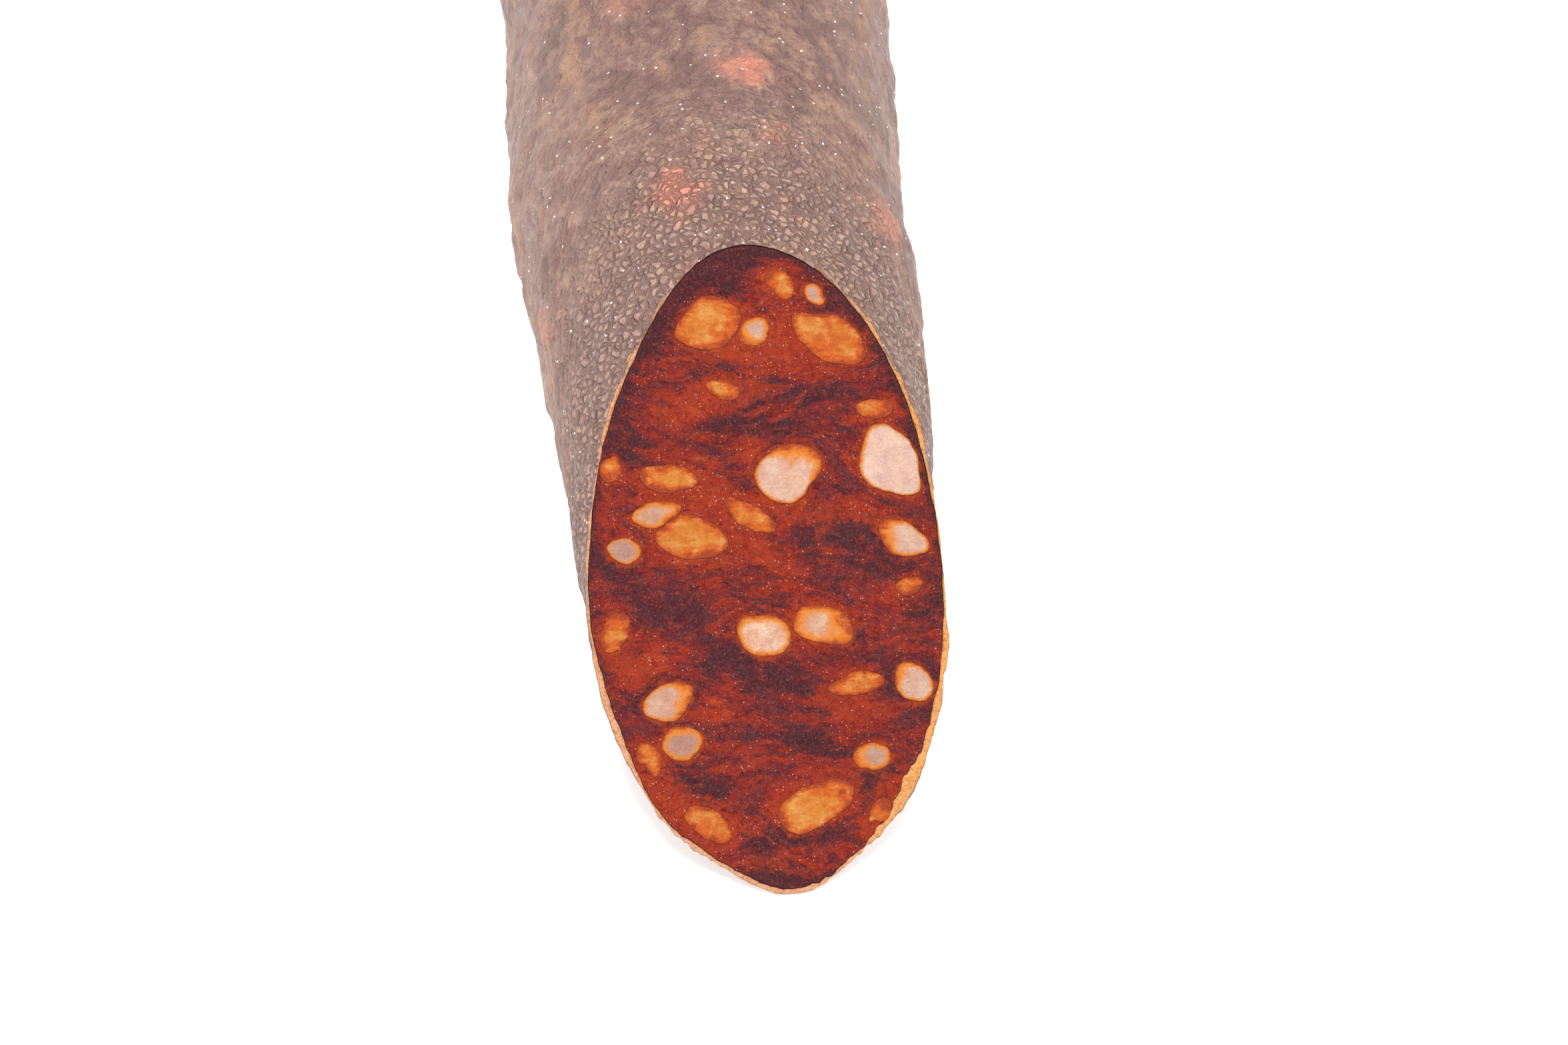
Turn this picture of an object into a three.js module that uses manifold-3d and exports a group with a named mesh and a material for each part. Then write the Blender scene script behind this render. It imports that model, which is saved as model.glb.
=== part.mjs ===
// A piece of dry-cured chorizo: coarse lean pork and cubes of back fat in a natural casing, cut on
// the bias at one end, and gathered and tied with twine at the other.
// Millimetres, +Z up. The sausage lies along Y on its flattened underside, with its cut face looking
// towards -Y and up, and the origin is the middle of its bounding box at table height.
// The shape is worked out from the tip of the cut, the lowest point of the cut face: y is the
// distance from that tip along the sausage, and z the height above the table.
import * as THREE from "three";
import { mergeVertices } from "three/addons/utils/BufferGeometryUtils.js";
import Module from "manifold-3d";

const wasm = await Module();
wasm.setup();

// ---- Body ----
const TIP_RADIUS = 23; // at the tip of the cut
const BELLY_RADIUS = 28.5; // at the fattest place
const BELLY_AT = 165; // distance from the tip to that place
const HEIGHT_SHARE = 0.955; // the body has settled: its height is this share of its width
const BODY_LENGTH = 206; // from the tip to the tied neck
const SHOULDER_LENGTH = 52; // how much of the body's end is rounded off towards the neck
const BEND_RADIUS = 1650; // of the body's axis, seen from above
const SINK = 0.8; // how far the underside is flattened by lying on the table
const SINK_LENGTH = 25; // how far from the tip the underside is fully flattened
const PINCH = 1.1; // how far the body is drawn in on both sides of the tip, which leaves it pointed
const PINCH_ANGLE = THREE.MathUtils.degToRad(56); // how far up from the tip it is drawn in
const PINCH_LENGTH = 20; // how fast that dies away along the body
const LEAD = 6; // body before the tip, which the cut takes off
const LUMPS = [
  // gentle swellings: height, waves around the body, length of a wave along it, phase
  [0.6, 1, 77, 1.14],
  [0.3, 2, 148, 0.6],
  [0.3, 3, 71, 2.1],
  [0.2, 4, 47, 4.4],
];

// ---- Cut, casing, and the ends of the casing ----
const CUT_ANGLE = THREE.MathUtils.degToRad(33.8); // between the cut face and the sausage's axis
const CASING_WALL = 0.5;
const FIT_GAP = 0.3; // between pieces that touch
const NECK_RADIUS = 4.2;
const NECK_GAP = 1.2; // bare neck on either side of the twine
const TAIL_LENGTH = 15;
const TAIL_RADIUS = 9;
const TAIL_DISH = 4; // how deep the end of the gathered tail is hollowed

// ---- Twine ----
const TWINE_RADIUS = 0.9;
const TWINE_TURNS = 3;
const TWINE_END = 8; // length of each trimmed end
const KNOT_RADIUS = 2.1;

// ---- Fat ----
const FAT_DEPTH = 0.8; // a piece's depth, as a share of its short width
const FAT_RISE = 0.25; // how far a piece's middle lies under the cut, as a share of its depth
const FAT_COVER = 0.8; // least lean between a piece of fat and the casing
const FAT_BITE = 0.35; // least lean between two pieces of fat
// Each piece: its place on the cut face, as shares of the face's half width and half length from its
// middle, then its long and short width and the turn of its long side in degrees.
const WHITE_FAT = [
  [0.15, 0.3, 10.8, 8.2, 28],
  [0.74, 0.32, 12, 9.4, -52],
  [0.76, 0.08, 8, 4.8, -30],
  [-0.06, -0.2, 8.4, 6, -15],
  [0.27, -0.18, 9.5, 5.6, -18],
  [-0.62, -0.39, 8, 4.8, 25],
  [-0.56, -0.52, 6, 4.8, 10],
  [0.75, -0.37, 6.8, 4.8, -50],
  [0.48, -0.59, 5.4, 3.8, 0],
  [0.03, 0.75, 5, 3.8, 40],
  [0.39, 0.86, 3.4, 2.4, -45],
  [-0.79, 0.08, 4.8, 3.4, -15],
  [-0.6, 0.19, 7.5, 3.4, 12],
];
const AMBER_FAT = [
  [-0.42, 0.11, 11.5, 6.2, -12],
  [-0.52, 0.3, 9, 3.8, -6],
  [0.45, 0.72, 12.5, 6.4, -33],
  [-0.22, 0.78, 10.5, 7.6, 20],
  [0.14, -0.73, 13, 6, 22],
  [0.43, -0.365, 9, 2.8, 8],
  [-0.76, -0.57, 5.8, 3.8, 100],
  [-0.86, 0.34, 4.8, 4.2, 0],
  [-0.17, 0.57, 5, 2.6, -20],
  [0.67, 0.49, 5.5, 2.6, 0],
  [-0.88, -0.17, 6.6, 3.4, 60],
  [0.2, 0.9, 5, 3.4, -60],
  [-0.46, -0.77, 8, 4.2, -32],
  [0.77, -0.07, 4, 2.2, 15],
  [0.5, -0.77, 5.6, 3.2, 55],
  [-0.08, 0.17, 9, 3, -35],
];

// ---- Fineness of the faces ----
const SIDES = 32; // around the body
const BODY_STEPS = 24; // along the body, up to the neck
const TAIL_STEPS = 4;
const TWINE_SIDES = 6;
const TWINE_STEPS = 12; // for each turn
const FAT_SIDES = 12;
const FAT_BANDS = 6;

const WOUND_LENGTH = TWINE_TURNS * (2 * TWINE_RADIUS + FIT_GAP) + 2 * TWINE_RADIUS;
const NECK_LENGTH = WOUND_LENGTH + 2 * NECK_GAP;

// Half the body's width without its rounded end: it swells from the tip to the belly.
function bodyRadius(y) {
  const share = Math.min(Math.max(y / BELLY_AT, 0), 1);
  return TIP_RADIUS + (BELLY_RADIUS - TIP_RADIUS) * Math.sin((Math.PI / 2) * share) ** 1.5;
}

// How much of that radius the rounded end leaves at y: 1 along the body, 0 at end.
function shoulder(y, end) {
  const share = Math.max(0, (y - (end - SHOULDER_LENGTH)) / SHOULDER_LENGTH);
  return Math.sqrt(Math.max(0, 1 - share ** 2.4));
}

// The swellings at a place on the body, as a length; the angle is 0 along the top. They die away
// towards the tied end, and along the underside, which the table keeps level.
function lumps(angle, y) {
  const waves = LUMPS.map(
    ([height, around, length, phase]) =>
      height * Math.sin(around * angle + (2 * Math.PI * y) / length + phase),
  );
  const level = 1 - 0.8 * ((1 - Math.cos(angle)) / 2) ** 4;
  return waves.reduce((sum, wave) => sum + wave, 0) * level * shoulder(y, BODY_LENGTH);
}

// How far the body is drawn in beside the tip of the cut.
function pinch(angle, y) {
  const fromBelow = Math.min((Math.PI - Math.abs(angle)) / PINCH_ANGLE, 1);
  return ((PINCH * (1 - Math.cos(2 * Math.PI * fromBelow))) / 2) * Math.exp(-Math.max(y, 0) / PINCH_LENGTH);
}

const sink = (y) => SINK * Math.min(Math.max(y / SINK_LENGTH, 0), 1);
const axisX = (y) => (y * y) / (2 * BEND_RADIUS);
const axisZ = (y) => bodyRadius(y) * HEIGHT_SHARE - sink(y);

// Revolves a profile of [radius, y] points about Y, swells and pinches it, and sets it on the bent
// axis.
function revolve(profile) {
  const points = profile.map(([radius, y]) => new THREE.Vector2(radius, y));
  const geometry = new THREE.LatheGeometry(points, SIDES);
  const place = geometry.getAttribute("position");
  for (let i = 0; i < place.count; i++) {
    const [x, y, z] = [place.getX(i), place.getY(i), place.getZ(i)];
    const radius = Math.hypot(x, z);
    const angle = Math.atan2(x, z);
    const fuller = radius > 0.01 ? 1 + (lumps(angle, y) - pinch(angle, y)) / bodyRadius(y) : 1;
    place.setXYZ(i, axisX(y) + x * fuller, y, axisZ(y) + z * fuller * HEIGHT_SHARE);
  }
  return geometry;
}

// The body's outline, drawn in by inset on all sides and closed at both ends.
function bodyProfile(inset) {
  const end = BODY_LENGTH - inset;
  const profile = [[0, -LEAD]];
  for (let i = 0; i <= BODY_STEPS; i++) {
    const y = -LEAD + (end + LEAD) * Math.sin((Math.PI / 2) * (i / BODY_STEPS)) ** 0.9;
    profile.push([(bodyRadius(y) - inset) * shoulder(y, end), y]);
  }
  profile[profile.length - 1] = [0, end];
  return profile;
}

// The casing's outside: the body's outline, widened where it runs into the neck, then the neck and
// the tail, which flares and is dished at its end.
function casingProfile() {
  const outline = bodyProfile(0).slice(0, -1);
  const body = outline.map(([radius, y], i) => [i ? Math.max(radius, NECK_RADIUS) : 0, y]);
  const neckEnd = BODY_LENGTH + NECK_LENGTH;
  const tail = [];
  for (let i = 0; i <= TAIL_STEPS; i++) {
    const share = i / TAIL_STEPS;
    const flare = (TAIL_RADIUS - NECK_RADIUS) * share ** 1.4;
    tail.push([NECK_RADIUS + flare, neckEnd + TAIL_LENGTH * share]);
  }
  return [...body, [NECK_RADIUS, BODY_LENGTH], ...tail, [0, neckEnd + TAIL_LENGTH - TAIL_DISH]];
}

// ---- Solids ----
function toSolid(geometry) {
  const bare = geometry.index ? geometry.toNonIndexed() : geometry.clone();
  bare.deleteAttribute("normal");
  bare.deleteAttribute("uv");
  const merged = mergeVertices(bare, 1e-3);
  const { array } = merged.getAttribute("position");
  const triVerts = new Uint32Array(merged.index.array);
  return new wasm.Manifold(new wasm.Mesh({ numProp: 3, vertProperties: array, triVerts }));
}

function toMesh(name, solid, material) {
  const { vertProperties, triVerts } = solid.getMesh();
  const geometry = new THREE.BufferGeometry();
  geometry.setAttribute("position", new THREE.BufferAttribute(vertProperties, 3));
  geometry.setIndex(new THREE.BufferAttribute(triVerts, 1));
  geometry.computeVertexNormals();
  const mesh = new THREE.Mesh(geometry, material);
  mesh.name = name;
  return mesh;
}

// A block that holds everything on one side of a plane: its top lies in the plane, facing normal.
function below(point, normal) {
  const size = 4 * (BODY_LENGTH + NECK_LENGTH + TAIL_LENGTH);
  const block = new THREE.BoxGeometry(size, size, size);
  const turn = new THREE.Quaternion().setFromUnitVectors(new THREE.Vector3(0, 0, 1), normal);
  block.translate(0, 0, -size / 2);
  block.applyQuaternion(turn);
  block.translate(point.x, point.y, point.z);
  return toSolid(block);
}

const faceNormal = new THREE.Vector3(0, -Math.sin(CUT_ANGLE), Math.cos(CUT_ANGLE));
const upFace = new THREE.Vector3(0, Math.cos(CUT_ANGLE), Math.sin(CUT_ANGLE));
const kept = below(new THREE.Vector3(0, 0, 0), faceNormal);

// The upper lip of the cut is where the face's plane meets the top of the body.
function lipDistance() {
  let y = 0;
  for (let i = 0; i < 40; i++) {
    y = (axisZ(y) + bodyRadius(y) * HEIGHT_SHARE) / Math.tan(CUT_ANGLE);
  }
  return y;
}

const lip = lipDistance();
const faceLength = lip / Math.cos(CUT_ANGLE);
const faceHalfWidth = bodyRadius(lip / 2);
const faceMiddle = upFace.clone().multiplyScalar(faceLength / 2);
faceMiddle.x = axisX(lip / 2);

// A turned solid laid on the table, its underside flattened at the height given.
function laid(profile, height) {
  const table = below(new THREE.Vector3(0, 0, height), new THREE.Vector3(0, 0, 1));
  return toSolid(revolve(profile)).subtract(table);
}

// The uncut body drawn in by inset on all sides.
const body = (inset) => laid(bodyProfile(inset), inset);

// A cube of fat worn to an uneven egg, lying in the cut face. grow widens it on all sides.
function fatLump([across, up, long, short, turn], grow) {
  const depth = short * FAT_DEPTH;
  const egg = new THREE.SphereGeometry(1, FAT_SIDES, FAT_BANDS);
  const place = egg.getAttribute("position");
  for (let i = 0; i < place.count; i++) {
    const [x, y, z] = [place.getX(i), place.getY(i), place.getZ(i)];
    const around = Math.atan2(y, x);
    const lobes = 0.09 * Math.sin(3 * around + 9 * across) + 0.07 * Math.sin(4 * around + 11 * up);
    place.setXYZ(i, x * (1 + lobes * (1 - z * z)), y * (1 + lobes * (1 - z * z)), z);
  }
  egg.scale(long / 2 + grow, short / 2 + grow, depth / 2 + grow);
  egg.rotateZ(THREE.MathUtils.degToRad(turn));
  egg.translate(across * faceHalfWidth, (up * faceLength) / 2, -FAT_RISE * depth);
  egg.rotateX(CUT_ANGLE);
  egg.translate(faceMiddle.x, faceMiddle.y, faceMiddle.z);
  return toSolid(egg);
}

// ---- Materials ----
const finish = (color, roughness) => new THREE.MeshStandardMaterial({ color, roughness, metalness: 0 });
const casingFinish = finish("#9b8279", 0.7);
const leanFinish = finish("#7c3428", 0.45);
const whiteFatFinish = finish("#dcc0b0", 0.4);
const amberFatFinish = finish("#cf7a34", 0.4);
const twineFinish = finish("#cdb893", 0.9);

// ---- Filling and fat ----
function fillingAndFat() {
  const filling = body(CASING_WALL + FIT_GAP).intersect(kept);
  const room = body(CASING_WALL + FIT_GAP + FAT_COVER).intersect(kept);
  const pocketRoom = body(CASING_WALL + FAT_COVER);
  const rows = [
    ...WHITE_FAT.map((row, i) => ["white_fat_" + (i + 1), row, whiteFatFinish]),
    ...AMBER_FAT.map((row, i) => ["amber_fat_" + (i + 1), row, amberFatFinish]),
  ];
  const meshes = [];
  let lean = filling;
  let taken = null; // where earlier pieces lie, with the lean between
  for (const [name, row, material] of rows) {
    let fat = fatLump(row, 0).intersect(room);
    let pocket = fatLump(row, FIT_GAP).intersect(pocketRoom);
    if (taken) {
      fat = fat.subtract(taken);
      pocket = pocket.subtract(taken);
    }
    const wide = fatLump(row, FIT_GAP + FAT_BITE);
    taken = taken ? taken.add(wide) : wide;
    lean = lean.subtract(pocket);
    meshes.push(toMesh(name, fat, material));
  }
  return [toMesh("filling", lean, leanFinish), ...meshes];
}

// ---- Casing ----
function casing() {
  const uncut = laid(casingProfile(), 0).subtract(body(CASING_WALL));
  return toMesh("casing", uncut.intersect(kept), casingFinish);
}

// ---- Twine ----
// The twine winds round the neck, and both ends leave the knot on top of it.
class Winding extends THREE.Curve {
  getPoint(share, target = new THREE.Vector3()) {
    const around = NECK_RADIUS + FIT_GAP + TWINE_RADIUS;
    const angle = 2 * Math.PI * TWINE_TURNS * share;
    const along = (WOUND_LENGTH - 2 * TWINE_RADIUS) * share + NECK_GAP + TWINE_RADIUS;
    const y = BODY_LENGTH + along;
    return target.set(axisX(y) + around * Math.sin(angle), y, axisZ(y) + around * Math.cos(angle));
  }
}

function tube(curve, steps) {
  const round = new THREE.Shape().absarc(0, 0, TWINE_RADIUS, 0, 2 * Math.PI);
  const options = { extrudePath: curve, steps, curveSegments: TWINE_SIDES, bevelEnabled: false };
  return toSolid(new THREE.ExtrudeGeometry(round, options));
}

function twine() {
  const wound = tube(new Winding(), TWINE_TURNS * TWINE_STEPS);
  const y = BODY_LENGTH + NECK_LENGTH / 2;
  const top = axisZ(y) + NECK_RADIUS + FIT_GAP + KNOT_RADIUS;
  const knot = new THREE.SphereGeometry(KNOT_RADIUS, FAT_SIDES, FAT_BANDS);
  knot.scale(1.3, WOUND_LENGTH / 2 / KNOT_RADIUS, 1);
  knot.translate(axisX(y), y, top);
  const ends = [-1, 1].map((side) => {
    const start = new THREE.Vector3(axisX(y), y, top);
    const reach = new THREE.Vector3(side * TWINE_END * 0.9, side * 1.5, TWINE_END * 0.35);
    const middle = start.clone().addScaledVector(reach, 0.5).setZ(top + TWINE_END * 0.3);
    return tube(new THREE.QuadraticBezierCurve3(start, middle, start.clone().add(reach)), 4);
  });
  return toMesh("twine", wound.add(toSolid(knot)).add(ends[0]).add(ends[1]), twineFinish);
}

// ---- Whole sausage ----
const sausage = new THREE.Group();
sausage.add(casing(), ...fillingAndFat(), twine());
const extent = new THREE.Box3().setFromObject(sausage);
const middle = extent.getCenter(new THREE.Vector3());
const whole = new THREE.Group();
sausage.position.set(-middle.x, -middle.y, -extent.min.z);
whole.add(sausage);

export default whole;
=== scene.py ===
import bpy
import numpy as np
from mathutils import Matrix, Vector


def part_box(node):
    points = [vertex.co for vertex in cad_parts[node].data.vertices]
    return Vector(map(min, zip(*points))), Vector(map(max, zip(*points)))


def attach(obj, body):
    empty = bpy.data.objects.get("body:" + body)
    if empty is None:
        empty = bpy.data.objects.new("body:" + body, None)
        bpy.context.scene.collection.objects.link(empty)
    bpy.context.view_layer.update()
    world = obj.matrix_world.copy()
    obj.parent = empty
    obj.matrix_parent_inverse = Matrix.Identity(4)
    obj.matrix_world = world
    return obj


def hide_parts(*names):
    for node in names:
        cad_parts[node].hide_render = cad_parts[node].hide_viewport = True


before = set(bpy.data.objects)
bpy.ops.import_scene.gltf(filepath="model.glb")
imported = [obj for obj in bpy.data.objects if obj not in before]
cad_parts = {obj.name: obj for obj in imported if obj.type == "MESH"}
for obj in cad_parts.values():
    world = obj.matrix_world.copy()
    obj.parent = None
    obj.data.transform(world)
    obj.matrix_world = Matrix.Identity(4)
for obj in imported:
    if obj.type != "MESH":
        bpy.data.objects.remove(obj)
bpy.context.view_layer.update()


# ---- Casing ----
# A natural gut casing a few tenths of a millimetre thick, dried on to the meat: it has shrunk into
# wrinkles and pebbles, and swells over cubes of fat. It is cut on the bias with the meat, and gathered
# and tied at the other end. Lengths are in millimetres until a mesh is made; y runs along the sausage
# from the tip of the cut, and angles start at the top.

TIP_RADIUS = 23
BELLY_RADIUS = 28.5
BELLY_AT = 165
HEIGHT_SHARE = 0.955
BODY_LENGTH = 206
SHOULDER_LENGTH = 52
BEND_RADIUS = 1650
SINK = 0.8
SINK_LENGTH = 25
PINCH = 1.1
PINCH_ANGLE = np.radians(56)
PINCH_LENGTH = 20
FLARE = 0.5
FLARE_LENGTH = 45
SWELLINGS = [(0.6, 1, 77, 1.14), (0.3, 2, 148, 0.6), (0.3, 3, 71, 2.1), (0.2, 4, 47, 4.4)]
CUT_ANGLE = np.radians(33.8)
NECK_RADIUS = 4.2
NECK_LENGTH = 10.5
TAIL_LENGTH = 15
TAIL_RADIUS = 9
TAIL_DISH = 4
WALL = 0.26

face_normal = np.array([0, -np.sin(CUT_ANGLE), np.cos(CUT_ANGLE)])
face_up = np.array([0, np.cos(CUT_ANGLE), np.sin(CUT_ANGLE)])


def body_radius(y):
    """Half the width grows from the tip to the belly as a quarter of a sine wave to the power 1.5."""
    share = np.clip(y / BELLY_AT, 0, 1)
    return TIP_RADIUS + (BELLY_RADIUS - TIP_RADIUS) * np.sin(np.pi / 2 * share) ** 1.5


def shoulder(y, end):
    """A rounded end: the root of one minus the share of the shoulder passed, to the power 2.4."""
    share = np.clip((y - (end - SHOULDER_LENGTH)) / SHOULDER_LENGTH, 0, 1)
    return np.sqrt(1 - share**2.4)


def axis_x(y):
    return y * y / (2 * BEND_RADIUS)


def axis_z(y):
    return body_radius(y) * HEIGHT_SHARE - SINK * np.clip(y / SINK_LENGTH, 0, 1)


def swelling(angle, y):
    """A sum of slanting sine waves around and along the body, levelled out along the underside."""
    waves = [h * np.sin(n * angle + 2 * np.pi * y / length + turn) for h, n, length, turn in SWELLINGS]
    level = 1 - 0.8 * ((1 - np.cos(angle)) / 2) ** 4
    return sum(waves) * level * shoulder(y, BODY_LENGTH)


def pinch(angle, y):
    """Beside the tip the body is drawn in by a wave of one period, which dies away along it."""
    from_below = np.clip(np.abs(angle % (2 * np.pi) - np.pi) / PINCH_ANGLE, 0, 1)
    return PINCH * (1 - np.cos(2 * np.pi * from_below)) / 2 * np.exp(-np.maximum(y, 0) / PINCH_LENGTH)


def cut_flare(angle, y):
    """The low sides splay a little near the cut, where the knife pressed: a cosine bell around the
    body that dies away along it."""
    low_side = np.clip(0.5 - 1.5 * np.cos(angle), 0, 1) * np.abs(np.sin(angle)) ** 1.5
    return FLARE * low_side * np.exp(-np.maximum(y, 0) / FLARE_LENGTH)


def body_point(angle, y, inset):
    """A point at that angle on the oval about the bent axis, drawn in by inset, kept off the table."""
    radius = (body_radius(y) - inset) * shoulder(y, BODY_LENGTH - inset)
    radius = radius * (1 + (swelling(angle, y) + cut_flare(angle, y) - pinch(angle, y)) / body_radius(y))
    z = np.maximum(axis_z(y) + radius * HEIGHT_SHARE * np.cos(angle), inset)
    return np.stack([axis_x(y) + radius * np.sin(angle), y + 0 * angle, z], -1)


def cut_distance(angle, inset):
    """Where the line along the body at that angle meets the cut plane, found by repeated steps."""
    y = np.zeros_like(angle)
    for _ in range(30):
        y = body_point(angle, y, inset)[..., 2] / np.tan(CUT_ANGLE)
    return y


def hashed(cells, seed):
    """A random whole number for each lattice cell, by multiplying and mixing its three indices."""
    x, y, z = (cells[..., i].astype(np.uint32) for i in range(3))
    number = x * np.uint32(374761393) + y * np.uint32(668265263) + z * np.uint32(2246822519)
    number = number + np.uint32(seed) * np.uint32(1274126177)
    number = (number ^ (number >> np.uint32(13))) * np.uint32(1103515245)
    number = (number ^ (number >> np.uint32(15))) * np.uint32(2654435761)
    return number ^ (number >> np.uint32(16))


def noise(points, seed):
    """Smooth random heights, about -1 to 1: random slopes at lattice corners, blended between them."""
    cells = np.floor(points).astype(np.int64)
    inside = points - cells
    ease = inside**3 * (inside * (inside * 6 - 15) + 10)
    total = 0
    for corner in np.ndindex(2, 2, 2):
        number = hashed(cells + corner, seed)
        slopes = np.stack([(number >> np.uint32(10 * i)) & np.uint32(1023) for i in range(3)], -1)
        share = np.prod(np.where(corner, ease, 1 - ease), -1)
        total = total + share * np.sum((slopes / 511.5 - 1) * (inside - corner), -1)
    return total * 1.7


def pebbles(points, seed):
    """Rounded cells with grooves between: how much nearer the nearest random centre is than the next."""
    cells = np.floor(points).astype(np.int64)
    nearest = np.full(points.shape[:-1], 9.0)
    second = nearest.copy()
    for step in np.ndindex(3, 3, 3):
        near = cells + step - 1
        number = hashed(near, seed)
        jitter = np.stack([(number >> np.uint32(10 * i)) & np.uint32(1023) for i in range(3)], -1)
        gap = np.linalg.norm(near + 0.1 + 0.8 * jitter / 1023 - points, axis=-1)
        second = np.minimum(second, np.maximum(nearest, gap))
        nearest = np.minimum(nearest, gap)
    return np.clip(second - nearest, 0, 1)


def smooth_step(value, low, high):
    """0 below low, 1 above high, and an S curve between."""
    share = np.clip((value - low) / (high - low), 0, 1)
    return share * share * (3 - 2 * share)


def normals(points):
    """Unit normals of a grid closed along its second direction: the cross product of its two slopes."""
    along = np.gradient(points, axis=0)
    around = np.roll(points, -1, 1) - np.roll(points, 1, 1)
    across = np.cross(around, along)
    return across / np.maximum(np.linalg.norm(across, axis=-1, keepdims=True), 1e-9)


def closed_mesh(name, rings, material, marks=None):
    """A solid from rings of points in millimetres. The first and last ring shrink to single points,
    each ring joins the next with four-sided faces, and marks are values kept at every point."""
    rings = np.asarray(rings, float)
    count, sides = rings.shape[:2]
    body = np.arange((count - 2) * sides).reshape(count - 2, sides) + 1
    after = np.roll(body, -1, 1)
    quads = np.stack([body[:-1], after[:-1], after[1:], body[1:]], -1).reshape(-1, 4)
    last = (count - 2) * sides + 1
    start = np.stack([0 * body[0], after[0], body[0]], -1)
    end = np.stack([0 * body[0] + last, body[-1], after[-1]], -1)

    def packed(grid):
        inner = grid[1:-1].reshape(-1, *grid.shape[2:])
        return np.concatenate([grid[:1].mean(1), inner, grid[-1:].mean(1)])

    points = packed(rings)
    fans = np.concatenate([start, end])
    volume = sum(
        np.einsum("ij,ij->", points[f[:, 0]], np.cross(points[f[:, i]], points[f[:, i + 1]]))
        for f in (quads, fans)
        for i in range(1, f.shape[1] - 1)
    )
    if volume < 0:
        quads, fans = quads[:, ::-1], fans[:, ::-1]
    mesh = bpy.data.meshes.new(name)
    mesh.from_pydata((points + to_row) / 1000, [], quads.tolist() + fans.tolist())
    mesh.polygons.foreach_set("use_smooth", np.ones(len(mesh.polygons), bool))
    for mark, grid in (marks or {}).items():
        values = packed(np.asarray(grid, float)).astype(np.float32)
        kind = "FLOAT_VECTOR" if values.ndim == 2 else "FLOAT"
        attribute = mesh.attributes.new(mark, kind, "POINT")
        attribute.data.foreach_set("vector" if values.ndim == 2 else "value", values.ravel())
    mesh.materials.append(material)
    piece = bpy.data.objects.new(name, mesh)
    bpy.context.scene.collection.objects.link(piece)
    return piece


def linear(code):
    """An sRGB hex colour as linear red, green, blue and full alpha."""
    value = np.array([int(code[i : i + 2], 16) for i in (1, 3, 5)]) / 255
    return (*np.where(value <= 0.04045, value / 12.92, ((value + 0.055) / 1.055) ** 2.4), 1)


def add(material, kind, settings=None, **links):
    """Adds a node. Settings are its own properties; links fill its sockets with values or outputs."""
    node = material.node_tree.nodes.new("ShaderNode" + kind)
    for key, value in (settings or {}).items():
        setattr(node, key, value)
    for key, value in links.items():
        match = [s for s in node.inputs if s.name.replace(" ", "_") == key and s.enabled]
        socket = match[0] if match else node.inputs[int(key.strip("i"))]
        if isinstance(value, bpy.types.NodeSocket):
            material.node_tree.links.new(value, socket)
        else:
            socket.default_value = value
    return node


def new_material(name):
    material = bpy.data.materials.new(name)
    material.use_nodes = True
    material.node_tree.nodes.clear()
    return material


def finished(material, colour, roughness, height, depth, **values):
    """Ends a material: one principled shader, with a bump of that depth in metres, and its output."""
    bump = add(material, "Bump", Height=height, Distance=depth, Strength=1.0)
    shader = add(material, "BsdfPrincipled", Normal=bump.outputs[0], **values)
    material.node_tree.links.new(colour, shader.inputs["Base Color"])
    if isinstance(roughness, bpy.types.NodeSocket):
        material.node_tree.links.new(roughness, shader.inputs["Roughness"])
    else:
        shader.inputs["Roughness"].default_value = roughness
    add(material, "OutputMaterial", Surface=shader.outputs[0])
    return material


def mark_of(material, name, output=2):
    return add(material, "Attribute", {"attribute_name": name}).outputs[output]


def noise_of(material, place, scale, detail=3.0, roughness=0.55, distortion=0.0):
    """Noise whose scale is in cycles for each millimetre of a place kept in millimetres."""
    node = add(material, "TexNoise", Vector=place, Scale=scale, Detail=detail)
    node.inputs["Roughness"].default_value = roughness
    node.inputs["Distortion"].default_value = distortion
    return node.outputs[0]


def mapped(material, value, low, high, to_low=0.0, to_high=1.0):
    settings = {"interpolation_type": "SMOOTHSTEP"}
    links = {"i0": value, "i1": low, "i2": high, "i3": to_low, "i4": to_high}
    return add(material, "MapRange", settings, **links).outputs[0]


def maths(material, operation, first, second):
    return add(material, "Math", {"operation": operation}, i0=first, i1=second).outputs[0]


def blend(material, share, under, over, kind="MIX"):
    """Mixes two colours, given as hex codes or outputs, by a share."""
    under, over = (linear(c) if isinstance(c, str) else c for c in (under, over))
    settings = {"data_type": "RGBA", "blend_type": kind}
    return add(material, "Mix", settings, i0=share, i6=under, i7=over).outputs[2]


def layered(material, colour, layers):
    """Lays colours over a first one in turn, each by its own share."""
    for share, over in layers:
        colour = blend(material, share, colour, over)
    return colour


def times(material, value, factor):
    return maths(material, "MULTIPLY", value, factor)


def summed(material, parts):
    """Adds values, each measured from its own middle and multiplied by its own share."""
    total = 0.0
    for value, middle, share in parts:
        off_middle = maths(material, "SUBTRACT", value, middle)
        total = maths(material, "ADD", times(material, off_middle, share), total)
    return total


# The row frame's origin is the middle of the whole box at table height, so the uncut shape worked out
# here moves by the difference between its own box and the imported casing's.
fine_angle = np.linspace(0, 2 * np.pi, 720, endpoint=False)
fine_y = cut_distance(fine_angle, 0)
along = np.linspace(0, 1, 300)[:, None]
rough_shape = body_point(fine_angle[None], fine_y + (BODY_LENGTH - fine_y) * along, 0)
casing_low, casing_high = (np.array(corner) * 1000 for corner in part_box("casing"))
shape_x = (rough_shape[..., 0].min() + rough_shape[..., 0].max()) / 2
to_row = np.array([(casing_low[0] + casing_high[0]) / 2 - shape_x, casing_low[1], casing_low[2]])

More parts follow.
